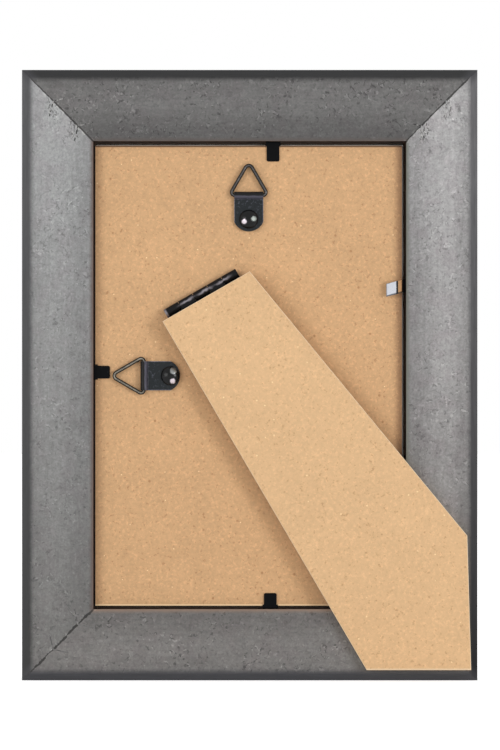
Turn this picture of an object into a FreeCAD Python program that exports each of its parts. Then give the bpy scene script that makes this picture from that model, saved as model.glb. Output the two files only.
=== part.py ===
import FreeCAD, Part
import math
import os
import re

import Sketcher

# Easel back photo frame for a 10 x 15 cm picture, upright, with its leg folded flat.
# The front faces -Y and the back +Y. The origin is under the middle of the whole part.
# Left and right are as seen from the front, so +X is at the left of a view from behind.

# Lengths in millimetres and angles in degrees.
SIZES = {
    # The sheet that the frame takes, and its play in the rebate
    "picture_width": 101.6,
    "picture_height": 152.4,
    "picture_side_gap": 0.8,
    "picture_end_gap": 1.0,
    # Rails, their section from the outer edge inwards
    "rail_depth": 16.0,
    "rail_back_width": 23.6,
    "lip_width": 5.0,
    "back_bevel_width": 2.3,
    "back_bevel_depth": 2.0,
    "front_round": 2.5,
    "shoulder_width": 7.0,
    "front_fall": 2.0,
    "scoop_radius": 45.0,
    "bead_width": 3.0,
    "bead_step": 1.2,
    "sight_bevel": 0.8,
    # V nails across each mitre
    "nail_wing": 5.2,
    "nail_sheet": 0.4,
    "nail_spread": 58.0,
    "nail_height": 7.0,
    "outer_nail_inset": 10.2,
    "inner_nail_back": 5.2,
    # What the rebate holds, from the front
    "glass_thickness": 2.0,
    "glass_clearance": 0.5,
    "insert_thickness": 0.3,
    "board_thickness": 3.0,
    "board_recess": 3.0,
    "board_right_gap": 0.6,
    "board_left_gap": 1.3,
    "board_head_gap": 1.3,
    "board_foot_gap": 1.0,
    # Flexible points: a flat steel tab driven into the rebate wall
    "point_sheet": 0.4,
    "point_gap": 0.05,
    "point_pivot_gap": 0.05,
    "point_width": 4.2,
    "point_root_width": 5.0,
    "point_shoulder": 1.4,
    "point_corner": 0.6,
    "point_buried": 9.0,
    "point_taper": 3.0,
    "top_point_length": 6.6,
    "top_point_aside": 7.7,
    "bottom_point_length": 5.2,
    "bottom_point_aside": 6.8,
    "right_point_length": 5.4,
    "right_point_above": 1.0,
    "bent_point_above": 29.8,
    "bent_point_lift": 0.3,
    "bent_point_rise": 35.0,
    "bent_point_rise_length": 2.9,
    "bent_point_droop": 4.0,
    "bent_point_flat_length": 3.9,
    "bent_point_skew": 15.0,
    "bent_point_tip_skew": 7.0,
    # Triangle hangers
    "ring_wire_radius": 0.6,
    "ring_side_gap": 1.6,
    "ring_reach": 11.05,
    "ring_corner_trim": 1.0,
    "ring_apex_trim": 1.38,
    "ring_joint_gap": 0.2,
    "roll_clearance": 0.08,
    "strap_sheet": 0.5,
    "strap_fold_gap": 0.1,
    "strap_width": 9.6,
    "strap_length": 11.9,
    "strap_end_depth": 3.1,
    "strap_end_radius": 5.3,
    "strap_valley_radius": 0.5,
    "portrait_hanger_aside": 0.3,
    "portrait_hanger_drop": 17.8,
    "portrait_rivet_inset": 4.0,
    "landscape_hanger_inset": 16.7,
    "landscape_hanger_below": 0.2,
    "landscape_rivet_inset": 3.2,
    # Rivets of the hangers, then those of the hinge's board leaf
    "rivet_head_radius": 3.1,
    "rivet_head_height": 1.8,
    "rivet_head_rim": 0.35,
    "rivet_shank_radius": 1.5,
    "small_rivet_head_radius": 2.3,
    "small_rivet_head_height": 0.8,
    "small_rivet_shank_radius": 1.2,
    "hole_clearance": 0.05,
    # Hinge of the leg
    "hinge_aside": 15.9,
    "hinge_above": 27.0,
    "leg_tilt": 29.8,
    "barrel_length": 27.3,
    "knuckle_gap": 0.16,
    "knuckle_lift": 0.1,
    "leaf_sheet": 0.6,
    "leaf_length": 15.0,
    "leaf_corner": 2.0,
    "leaf_seam": 0.15,
    "window_clearance": 0.2,
    "pin_clearance": 0.05,
    "leaf_rivet_offset": 7.5,
    "leaf_rivet_inset": 6.0,
    "prong_width": 2.2,
    "prong_height": 2.2,
    "prong_shoulder": 0.8,
    "prong_offset": 8.0,
    "prong_inset": 4.5,
    "prong_pitch": 5.5,
    "prong_hole_length": 2.0,
    # Leg
    "leg_gap": 0.2,
    "leg_thickness": 3.0,
    "leg_edge_round": 0.3,
    "leg_right_overhang": 2.1,
    "leg_left_overhang": 3.7,
    "leg_top_setback": 1.7,
    "leg_foot_lift": 3.7,
    "leg_side_margin": 2.3,
    "leg_foot_width": 34.4,
    "leg_side_height": 44.3,
    "leg_side_lean": 1.3,
    # How far every cutting shape runs past what it cuts
    "overrun": 4.0,
}

KNUCKLES = 5

# Sizes and places that follow from the sizes above.
FORMULAS = {
    "opening_width": "picture_width + 2 * picture_side_gap",
    "opening_height": "picture_height + 2 * picture_end_gap",
    "frame_width": "opening_width + 2 * rail_back_width",
    "frame_height": "opening_height + 2 * rail_back_width",
    "frame_middle": "frame_height / 2",
    "opening_side": "opening_width / 2",
    "opening_foot": "rail_back_width",
    "opening_head": "frame_height - rail_back_width",
    "rail_width": "rail_back_width + lip_width",
    "rebate_depth": "glass_thickness + insert_thickness + board_thickness + board_recess",
    "back_face": "(rail_depth - leg_gap - leg_thickness) / 2",
    "front_face": "back_face - rail_depth",
    "rebate_floor": "back_face - rebate_depth",
    "board_face": "back_face - board_recess",
    "board_inner_face": "board_face - board_thickness",
    "fall_face": "front_face + front_fall",
    "bead_face": "fall_face + bead_step",
    "inner_nail_inset": "rail_back_width - inner_nail_back",
    "board_width": "opening_width - board_left_gap - board_right_gap",
    "board_height": "opening_height - board_foot_gap - board_head_gap",
    "point_pivot": "point_sheet / 2 + point_pivot_gap",
    "point_middle": "point_gap + point_sheet / 2",
    "ring_half_base": "strap_width / 2 + ring_side_gap",
    "roll_bore": "ring_wire_radius + roll_clearance",
    "roll_radius": "roll_bore + strap_sheet",
    "strap_stack": "2 * strap_sheet + strap_fold_gap",
    "strap_straight": "strap_length - strap_end_depth",
    "portrait_hanger_z": "opening_head - portrait_hanger_drop",
    "landscape_hanger_x": "opening_side - landscape_hanger_inset",
    "landscape_hanger_z": "frame_middle - landscape_hanger_below",
    "hinge_z": "frame_middle + hinge_above",
    "knuckle_radius": "(board_recess + leg_gap - knuckle_lift) / 2",
    "barrel_axis": "knuckle_radius + knuckle_lift",
    "knuckle_bore": "knuckle_radius - leaf_sheet",
    "knuckle_pitch": "barrel_length / %d" % KNUCKLES,
    "leaf_rivet_drop": "leaf_length - leaf_rivet_inset",
    "window_depth": "knuckle_radius + window_clearance",
    "leg_inner_face": "board_recess + leg_gap",
    "tilt_across": "cos(leg_tilt * 1deg)",
    "tilt_down": "sin(leg_tilt * 1deg)",
}

# The planes that a sub-part is drawn on, in its own axes. A rail's runs along x, with y out of
# the frame's back. The others lie flat in x and y, with z out of the back.
FLAT = "XY_Plane"
SECTION = "YZ_Plane"
FRONT = "XZ_Plane"

# Places closer than this share of their size are the same place.
SAME_SHARE = 1e-6

document = FreeCAD.newDocument("easel_back_photo_frame")
sheet = document.addObject("Spreadsheet::Sheet", "Sizes")
nodes = []


def fill_sheet():
    """Write each size into the sheet under its own name."""
    for row, (name, size) in enumerate(SIZES.items(), start=1):
        cell = "A%d" % row
        sheet.set(cell, str(size))
        sheet.setAlias(cell, name)
    document.recompute()


def bound(text):
    """The formula with its named formulas written out and its sizes read from the sheet."""
    def replace(match):
        word = match.group()
        if word in FORMULAS:
            return "(" + bound(FORMULAS[word]) + ")"
        if word in SIZES:
            return "Sizes." + word
        return word
    return re.sub(r"[a-z][a-z_]+", replace, text)


def value(text):
    """The formula's value now, for where a drawn line starts before it is bound."""
    return float(sheet.evalExpression(bound(text)))


def keep(item, label):
    """Give a finished sub-part its name, and list it."""
    item.Label = label
    nodes.append(item)
    return item


def place(item, x, y, z, turn="0", behind=True):
    """Place a sub-part. From behind, its own x runs along +X, y down and z out of the back,
    and turn is an angle in degrees about the frame's depth."""
    rotation = "rotation(vector(0; 1; 0); %s)" % bound(turn)
    if behind:
        rotation += " * rotation(vector(1; 0; 0); -90)"
    point = "vector(%s; %s; %s)" % (bound(x), bound(y), bound(z))
    item.setExpression("Placement", "placement(%s; %s)" % (point, rotation))


def new_body(name):
    """An empty body."""
    return document.addObject("PartDesign::Body", name)


def new_sketch(body, name, plane, lift="0"):
    """A sketch on one of the body's own origin planes, lifted along the plane's normal."""
    sketch = body.newObject("Sketcher::SketchObject", body.Name + "_" + name)
    found = [item for item in body.Origin.OriginFeatures if item.Role == plane]
    sketch.AttachmentSupport = [(found[0], "")]
    sketch.MapMode = "FlatFace"
    if lift != "0":
        sketch.setExpression("AttachmentOffset.Base.z", bound(lift))
    return sketch


def pin_point(sketch, edge, end, point):
    """Bind one end of an edge to its two formulas."""
    for direction, text in zip(("DistanceX", "DistanceY"), point):
        index = sketch.addConstraint(
            Sketcher.Constraint(direction, -1, 1, edge, end, value(text)))
        sketch.setExpression("Constraints[%d]" % index, bound(text))


def arc_between(start, end, radius):
    """The short arc from start to end: a positive radius turns it left, a negative one right."""
    chord = end - start
    half = chord.Length / 2
    depth = math.sqrt(max(radius * radius - half * half, 0))
    left = FreeCAD.Vector(-chord.y, chord.x, 0).normalize()
    centre = start + chord * (1 / 2) + left * math.copysign(depth, radius)
    if radius < 0:
        start, end = end, start
    first = math.atan2(start.y - centre.y, start.x - centre.x)
    last = math.atan2(end.y - centre.y, end.x - centre.x)
    if last < first:
        last += 2 * math.pi
    circle = Part.Circle(centre, FreeCAD.Vector(0, 0, 1), abs(radius))
    return Part.ArcOfCircle(circle, first, last)


def draw(sketch, points, arcs=None, closed=True):
    """Draw an outline through points, each a pair of formulas. arcs gives, for the edge that
    leaves a point, its radius and the side it turns to, 1 for left and -1 for right."""
    arcs = arcs or {}
    count = len(points)
    spots = [FreeCAD.Vector(value(x), value(y), 0) for x, y in points]
    edges = []
    for i in range(count if closed else count - 1):
        start, end = spots[i], spots[(i + 1) % count]
        if i in arcs:
            radius, side = arcs[i]
            edge = sketch.addGeometry(arc_between(start, end, side * value(radius)))
            edges.append((edge, 1, 2) if side > 0 else (edge, 2, 1))
            index = sketch.addConstraint(Sketcher.Constraint("Radius", edge, value(radius)))
            sketch.setExpression("Constraints[%d]" % index, bound(radius))
        else:
            edges.append((sketch.addGeometry(Part.LineSegment(start, end)), 1, 2))
    for i, (edge, start_end, far_end) in enumerate(edges):
        pin_point(sketch, edge, start_end, points[i])
        if closed or i + 1 < len(edges):
            following = edges[(i + 1) % len(edges)]
            sketch.addConstraint(
                Sketcher.Constraint("Coincident", edge, far_end, following[0], following[1]))
        else:
            pin_point(sketch, edge, far_end, points[-1])


def draw_box(sketch, left, right, low, high):
    """Draw a rectangle between two places across and two up."""
    draw(sketch, [(left, low), (right, low), (right, high), (left, high)])


def draw_circle(sketch, x, y, radius):
    """Draw a circle."""
    centre = FreeCAD.Vector(value(x), value(y), 0)
    circle = Part.Circle(centre, FreeCAD.Vector(0, 0, 1), value(radius))
    edge = sketch.addGeometry(circle)
    pin_point(sketch, edge, 3, (x, y))
    index = sketch.addConstraint(Sketcher.Constraint("Radius", edge, value(radius)))
    sketch.setExpression("Constraints[%d]" % index, bound(radius))


def pad(body, sketch, length, both=False, back=False):
    """Pad a sketch along its normal, both ways from its plane, or backwards."""
    feature = body.newObject("PartDesign::Pad", sketch.Name + "_pad")
    feature.Profile = sketch
    feature.setExpression("Length", bound(length))
    feature.SideType = "Symmetric" if both else "One side"
    feature.Reversed = back
    return feature


def cut_through(body, sketch):
    """Cut a sketch through the whole body, and make sure that it cuts."""
    feature = body.newObject("PartDesign::Pocket", sketch.Name + "_cut")
    feature.Profile = sketch
    feature.Type = "ThroughAll"
    feature.SideType = "Symmetric"
    document.recompute()
    if feature.Shape.Volume >= feature.BaseFeature.Shape.Volume:
        raise ValueError(feature.Name + " cuts nothing")
    return feature


def round_edges(body, name, radius, wanted):
    """Round the edges of the body's last feature whose middle point is wanted."""
    document.recompute()
    base = body.Tip
    names = []
    for i, edge in enumerate(base.Shape.Edges, start=1):
        middle = edge.valueAt((edge.FirstParameter + edge.LastParameter) / 2)
        if wanted(edge, middle):
            names.append("Edge%d" % i)
    feature = body.newObject("PartDesign::Fillet", body.Name + "_" + name)
    feature.Base = (base, names)
    feature.setExpression("Radius", bound(radius))
    return feature


def near(one, other):
    """True where two places are the same but for rounding."""
    return abs(one - other) < SAME_SHARE * max(1, abs(other))


def upright(edge):
    """True for a straight edge that runs along the body's own z."""
    ends = [vertex.Point for vertex in edge.Vertexes]
    return len(ends) == 2 and near(ends[0].x, ends[1].x) and near(ends[0].y, ends[1].y)


def subtract(label, base, tools):
    """The base with the tools cut out of it."""
    cut = document.addObject("Part::Cut", label)
    cut.Base = base
    if len(tools) == 1:
        cut.Tool = tools[0]
    else:
        joined = document.addObject("Part::Compound", label + "_cutters")
        joined.Links = tools
        cut.Tool = joined
    return cut


def group(label, items):
    """Separate solids that share one node."""
    gathered = document.addObject("Part::Compound", label)
    gathered.Links = items
    return gathered


# Rails

def rail_blank(name, length):
    """A mitred rail along x, with its outer edge at z = 0 and the rebate towards +z."""
    body = new_body(name)
    section = new_sketch(body, "section", SECTION)
    draw(section, [
        ("back_face", "back_bevel_width"),
        ("back_face", "rail_back_width"),
        ("rebate_floor", "rail_back_width"),
        ("rebate_floor", "rail_width"),
        ("bead_face + sight_bevel", "rail_width"),
        ("bead_face", "rail_width - sight_bevel"),
        ("bead_face", "rail_width - bead_width"),
        ("fall_face", "rail_width - bead_width"),
        ("front_face", "shoulder_width"),
        ("front_face", "front_round"),
        ("front_face + front_round", "0"),
        ("back_face - back_bevel_depth", "0"),
    ], arcs={7: ("scoop_radius", -1), 9: ("front_round", 1)})
    pad(body, section, length, both=True)
    mitres = new_sketch(body, "mitres", FRONT)
    for side in ("-", ""):
        corner = side + length + " / 2"
        past = ("-" if side else "+") + " overrun"
        inner = ("+" if side else "-") + " (rail_width + overrun)"
        draw(mitres, [
            (corner + past, "-overrun"),
            (corner + inner, "rail_width + overrun"),
            (corner + past, "rail_width + overrun"),
        ])
    cut_through(body, mitres)
    return body


def corner_nail(name, side, top, apex):
    """A bent V nail pressed in flush with the back, its point on the mitre towards the corner."""
    body = new_body(name)
    plan = new_sketch(body, "plan", FLAT)
    across = "nail_wing * cos(nail_spread * 1deg)"
    wide = "nail_wing * sin(nail_spread * 1deg)"
    shift = "nail_sheet / sin(nail_spread * 1deg)"
    draw(plan, [
        ("0", "0"),
        (across, wide),
        (across + " + " + shift, wide),
        (shift, "0"),
        (across + " + " + shift, "-1 * " + wide),
        (across, "-1 * " + wide),
    ])
    pad(body, plan, "nail_height", back=True)
    x = "%d * (frame_width / 2 - %s)" % (side, apex)
    z = "frame_height - " + apex if top else apex
    turn = 90 + side * 45 if top else -90 - side * 45
    place(body, x, "back_face", z, str(turn))
    return body


# Flexible points

def buried_root(name, x, z, turn, lift="0"):
    """The pointed end of a flexible point, in its slot in the rail."""
    body = new_body(name)
    plan = new_sketch(body, "plan", FLAT, "point_gap + " + lift)
    draw(plan, [
        ("-point_root_width / 2", "0"),
        ("point_root_width / 2", "0"),
        ("point_root_width / 2", "point_taper - point_buried"),
        ("0", "-point_buried"),
        ("-point_root_width / 2", "point_taper - point_buried"),
    ])
    pad(body, plan, "point_sheet")
    place(body, x, "board_face", z, turn)
    return body


def blade_root(body, middle):
    """The rounded end that a blade bends about."""
    end = new_sketch(body, "end", SECTION)
    draw_circle(end, "point_pivot", middle, "point_sheet / 2")
    pad(body, end, "point_root_width", both=True)


def straight_blade(label, length, x, z, turn):
    """A flexible point's blade, flat on the board, narrower past its shoulder."""
    body = new_body(label)
    blade_root(body, "point_middle")
    side = new_sketch(body, "side", SECTION)
    draw_box(side, "point_pivot", length, "point_gap", "point_gap + point_sheet")
    pad(body, side, "point_root_width", both=True)
    waist = new_sketch(body, "waist", FLAT)
    for sign in ("-", ""):
        edge = sign + "point_width / 2"
        outside = sign + "(point_root_width / 2 + overrun)"
        draw_box(waist, edge, outside, "point_shoulder", length + " + overrun")
    cut_through(body, waist)
    tip = value(length)
    round_edges(body, "tip", "point_corner",
                lambda edge, middle: upright(edge) and near(middle.y, tip))
    place(body, x, "board_face", z, turn)
    return keep(body, label)


def bent_blade(label, x, z, turn):
    """The blade that is bent up and askew: it rises from the wall, then lies nearly level."""
    body = new_body(label)
    middle = "(point_middle + bent_point_lift)"
    blade_root(body, middle)
    side = new_sketch(body, "side", SECTION)
    half = "point_sheet / 2"
    rise = "bent_point_rise * 1deg"
    droop = "bent_point_droop * 1deg"
    lean = "(bent_point_rise - bent_point_droop) / 2 * 1deg"
    spread = half + " / cos((bent_point_rise + bent_point_droop) / 2 * 1deg)"
    kink_y = "point_pivot + bent_point_rise_length * cos(%s)" % rise
    kink_z = middle + " + bent_point_rise_length * sin(%s)" % rise
    tip_y = kink_y + " + bent_point_flat_length * cos(%s)" % droop
    tip_z = kink_z + " - bent_point_flat_length * sin(%s)" % droop
    outline = []
    for sign in ("+", "-"):
        other = "-" if sign == "+" else "+"
        outline.append([
            ("point_pivot %s %s * sin(%s)" % (other, half, rise),
             "%s %s %s * cos(%s)" % (middle, sign, half, rise)),
            ("%s %s %s * sin(%s)" % (kink_y, other, spread, lean),
             "%s %s %s * cos(%s)" % (kink_z, sign, spread, lean)),
            ("%s %s %s * sin(%s)" % (tip_y, sign, half, droop),
             "%s %s %s * cos(%s)" % (tip_z, sign, half, droop)),
        ])
    draw(side, outline[0] + outline[1][::-1])
    pad(body, side, "point_root_width + 2 * overrun", both=True)
    askew = new_sketch(body, "askew", FLAT)
    reach = "(%s + overrun)" % tip_y
    drift = "tan(bent_point_skew * 1deg)"
    for sign in ("-", ""):
        edge = sign + "point_width / 2 / cos(bent_point_skew * 1deg)"
        outside = sign + "(point_root_width + 2 * overrun)"
        draw(askew, [
            (edge, "-1 * point_sheet"),
            ("%s - %s * %s" % (edge, reach, drift), reach),
            (outside, reach),
            (outside, "-1 * point_sheet"),
        ])
    cut_through(body, askew)
    end = new_sketch(body, "tip_end", FLAT)
    slope = "tan(bent_point_tip_skew * 1deg)"
    centre = "(%s * %s)" % (tip_y, drift)
    wide = "(point_root_width + overrun)"
    draw(end, [
        ("-%s - %s" % (centre, wide), "%s - %s * %s" % (tip_y, wide, slope)),
        ("-%s + %s" % (centre, wide), "%s + %s * %s" % (tip_y, wide, slope)),
        ("-%s + %s" % (centre, wide), reach + " + overrun"),
        ("-%s - %s" % (centre, wide), reach + " + overrun"),
    ])
    cut_through(body, end)
    place(body, x, "board_face", z, turn)
    return keep(body, label)


# Triangle hangers

def hanger_strap(label, rivet_drop, x, z, turn):
    """A strip folded round the ring's base wire, its two layers lying on the board."""
    body = new_body(label)
    roll = new_sketch(body, "roll", SECTION)
    draw_circle(roll, "0", "roll_radius", "roll_radius")
    draw_circle(roll, "0", "roll_radius", "roll_bore")
    pad(body, roll, "strap_width", both=True)
    layers = new_sketch(body, "layers", SECTION)
    draw_box(layers, "0", "strap_length", "0", "strap_sheet")
    draw_box(layers, "(roll_radius + roll_bore) / 2", "strap_length",
             "strap_sheet + strap_fold_gap", "strap_stack")
    pad(body, layers, "strap_width", both=True)
    top = value("strap_stack")
    round_edges(body, "valley", "strap_valley_radius",
                lambda edge, middle: near(middle.z, top) and near(middle.x, 0)
                and middle.y < value("strap_length / 2"))
    end = new_sketch(body, "end", FLAT)
    draw(end, [
        ("-strap_width / 2 - overrun", "strap_straight"),
        ("-strap_width / 2", "strap_straight"),
        ("0", "strap_length"),
        ("strap_width / 2", "strap_straight"),
        ("strap_width / 2 + overrun", "strap_straight"),
        ("strap_width / 2 + overrun", "strap_length + overrun"),
        ("-strap_width / 2 - overrun", "strap_length + overrun"),
    ], arcs={1: ("strap_end_radius", -1), 2: ("strap_end_radius", -1)})
    cut_through(body, end)
    hole = new_sketch(body, "hole", FLAT)
    draw_circle(hole, "0", rivet_drop, "rivet_shank_radius + hole_clearance")
    cut_through(body, hole)
    place(body, x, "board_face", z, turn)
    return keep(body, label)


def hanger_ring(label, x, z, turn):
    """A triangle of round wire, each corner made by two bends. Its ends meet inside the
    strap's roll."""
    body = new_body(label)
    slope = "atan(ring_half_base / ring_reach)"
    crown = ("(ring_apex_trim * sin(%s))" % slope, "ring_apex_trim * cos(%s) - ring_reach" % slope)
    corner = ("(ring_half_base - ring_corner_trim * sin(%s))" % slope,
              "-1 * ring_corner_trim * cos(%s)" % slope)
    path = new_sketch(body, "path", FLAT, "roll_radius")
    draw(path, [
        ("ring_joint_gap / 2", "0"),
        ("ring_half_base - ring_corner_trim", "0"),
        corner,
        crown,
        ("-1 * " + crown[0], crown[1]),
        ("-1 * " + corner[0], corner[1]),
        ("ring_corner_trim - ring_half_base", "0"),
        ("-ring_joint_gap / 2", "0"),
    ], closed=False)
    wire = new_sketch(body, "wire", SECTION, "ring_joint_gap / 2")
    draw_circle(wire, "0", "roll_radius", "ring_wire_radius")
    document.recompute()
    pipe = body.newObject("PartDesign::AdditivePipe", label + "_pipe")
    pipe.Profile = wire
    pipe.Spine = (path, [])
    pipe.Transition = "Round corner"
    place(body, x, "board_face", z, turn)
    return keep(body, label)


def rivet(name, size, stack, x, z):
    """A rivet through stack and board, its end peened flush with the board's inner face. size
    is the first part of its sizes' names: a plain rivet's head is domed, a small one's flat."""
    body = new_body(name)
    head, shank, height = [size + tail for tail in (
        "_head_radius", "_shank_radius", "_head_height")]
    end = "-1 * (%s + board_thickness)" % stack
    outline = [("0", height), ("0", end), (shank, end), (shank, "0"), (head, "0")]
    arcs = {}
    if size == "rivet":
        crown = "(rivet_head_height - rivet_head_rim)"
        dome = "(%s * %s + %s * %s) / (2 * %s)" % (head, head, crown, crown, crown)
        arcs = {len(outline): (dome, 1)}
        outline.append((head, "rivet_head_rim"))
    else:
        outline.append((head, height))
    half = new_sketch(body, "half", FRONT)
    draw(half, outline, arcs=arcs)
    turned = body.newObject("PartDesign::Revolution", name + "_turned")
    turned.Profile = half
    turned.ReferenceAxis = (half, ["V_Axis"])
    turned.Angle = 360
    place(body, x, "board_face + " + stack, z)
    return body


def rivet_hole(name, size, x, z):
    """The cutter of a rivet's hole through the board."""
    hole = document.addObject("Part::Cylinder", name + "_hole")
    hole.setExpression("Radius", bound(size + "_shank_radius + hole_clearance"))
    hole.setExpression("Height", bound("board_thickness + 2 * overrun"))
    place(hole, x, "board_inner_face - overrun", z)
    return hole


# Hinge of the leg

def hinge_spot(x, y):
    """Where a point of the hinge's own plan lies on the frame's back."""
    return ("hinge_aside + (%s) * tilt_across - (%s) * tilt_down" % (x, y),
            "hinge_z - (%s) * tilt_down - (%s) * tilt_across" % (x, y))


def hinge_leaf(label, on_leg):
    """One leaf: a sheet rolled into knuckles, with windows for the other leaf's knuckles."""
    body = new_body(label)
    low, high, seam = "0", "leaf_sheet", "leaf_sheet + leaf_seam"
    if on_leg:
        low, high, seam = [
            "(leg_inner_face - %s)" % depth for depth in ("0", "leaf_sheet", "leaf_sheet - leaf_seam")]
    roll = new_sketch(body, "roll", SECTION)
    draw_circle(roll, "0", "barrel_axis", "knuckle_radius")
    draw_circle(roll, "0", "barrel_axis", "knuckle_bore")
    pad(body, roll, "barrel_length", both=True)
    flat = new_sketch(body, "flat", SECTION)
    draw_box(flat, "0", "leaf_length", low, high)
    pad(body, flat, "barrel_length", both=True)
    slit = new_sketch(body, "slit", SECTION)
    draw_box(slit, "0", "knuckle_radius + leaf_seam", high, seam)
    cut_through(body, slit)
    windows = new_sketch(body, "windows", FLAT)
    for i in range(KNUCKLES):
        if (i % 2 == 0) == on_leg:
            left = "%d * knuckle_pitch - barrel_length / 2 - knuckle_gap / 2" % i
            right = "%d * knuckle_pitch - barrel_length / 2 + knuckle_gap / 2" % (i + 1)
            draw_box(windows, left, right, "-1 * knuckle_radius - overrun", "window_depth")
    cut_through(body, windows)
    far = value("leaf_length")
    round_edges(body, "corners", "leaf_corner",
                lambda edge, middle: upright(edge) and near(middle.y, far))
    if on_leg:
        add_prongs(body)
    else:
        holes = new_sketch(body, "holes", FLAT)
        for sign in ("-", ""):
            draw_circle(holes, sign + "leaf_rivet_offset", "leaf_rivet_drop",
                        "small_rivet_shank_radius + hole_clearance")
        cut_through(body, holes)
    place(body, "hinge_aside", "board_face", "hinge_z", "leg_tilt")
    return keep(body, label)


def add_prongs(body):
    """Punch four pointed prongs out of the leg's leaf and turn them up into the leg."""
    punched = new_sketch(body, "punched", FLAT)
    for row in range(2):
        foot = "leaf_length - prong_inset - %d * prong_pitch + leaf_sheet" % row
        prongs = new_sketch(body, "prongs_%d" % row, FRONT, "-1 * (%s)" % foot)
        for sign in ("-", ""):
            middle = sign + "prong_offset"
            left, right = middle + " - prong_width / 2", middle + " + prong_width / 2"
            draw(prongs, [
                (left, "leg_inner_face - leaf_sheet"),
                (right, "leg_inner_face - leaf_sheet"),
                (right, "leg_inner_face + prong_shoulder"),
                (middle, "leg_inner_face + prong_height"),
                (left, "leg_inner_face + prong_shoulder"),
            ])
            draw_box(punched, left, right, foot, foot + " + prong_hole_length")
        pad(body, prongs, "leaf_sheet")
    cut_through(body, punched)


def pin_of_hinge(label):
    """The pin through all the knuckles."""
    body = new_body(label)
    end = new_sketch(body, "end", SECTION)
    draw_circle(end, "0", "barrel_axis", "knuckle_bore - pin_clearance")
    pad(body, end, "barrel_length", both=True)
    place(body, "hinge_aside", "board_face", "hinge_z", "leg_tilt")
    return keep(body, label)


# Leg

def leg_blank(name):
    """The five-sided leg: its top edge follows the hinge, its foot the bottom rail."""
    body = new_body(name)
    plan = new_sketch(body, "plan", FLAT, "leg_inner_face")
    right = "(barrel_length / 2 + leg_right_overhang)"
    left = "(barrel_length / 2 + leg_left_overhang)"
    top = ("%s * tilt_across - leg_top_setback * tilt_down" % right,
           "%s * tilt_down + leg_top_setback * tilt_across" % right)
    peak = ("-1 * %s * tilt_across - leg_top_setback * tilt_down" % left,
            "leg_top_setback * tilt_across - %s * tilt_down" % left)
    heel = ("leg_side_margin - frame_width / 2 - hinge_aside", "hinge_z - leg_foot_lift")
    foot = (heel[0] + " + leg_foot_width", heel[1])
    side = (heel[0] + " + leg_side_lean", heel[1] + " - leg_side_height")
    draw(plan, [top, foot, heel, side, peak])
    pad(body, plan, "leg_thickness")
    outer = value("leg_inner_face + leg_thickness")
    round_edges(body, "rim", "leg_edge_round",
                lambda edge, middle: near(middle.z, outer))
    place(body, "hinge_aside", "board_face", "hinge_z")
    return body


# Flat sheets in the rebate

def sheet_in_rebate(name, wide, tall, thick, front, x="0", z=None):
    """A flat sheet, centred in the rebate's opening unless its lower edge is given."""
    box = document.addObject("Part::Box", name)
    box.setExpression("Length", bound(wide))
    box.setExpression("Width", bound(thick))
    box.setExpression("Height", bound(tall))
    lower = z or "(frame_height - (%s)) / 2" % tall
    place(box, "%s - (%s) / 2" % (x, wide), front, lower, behind=False)
    return box


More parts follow.
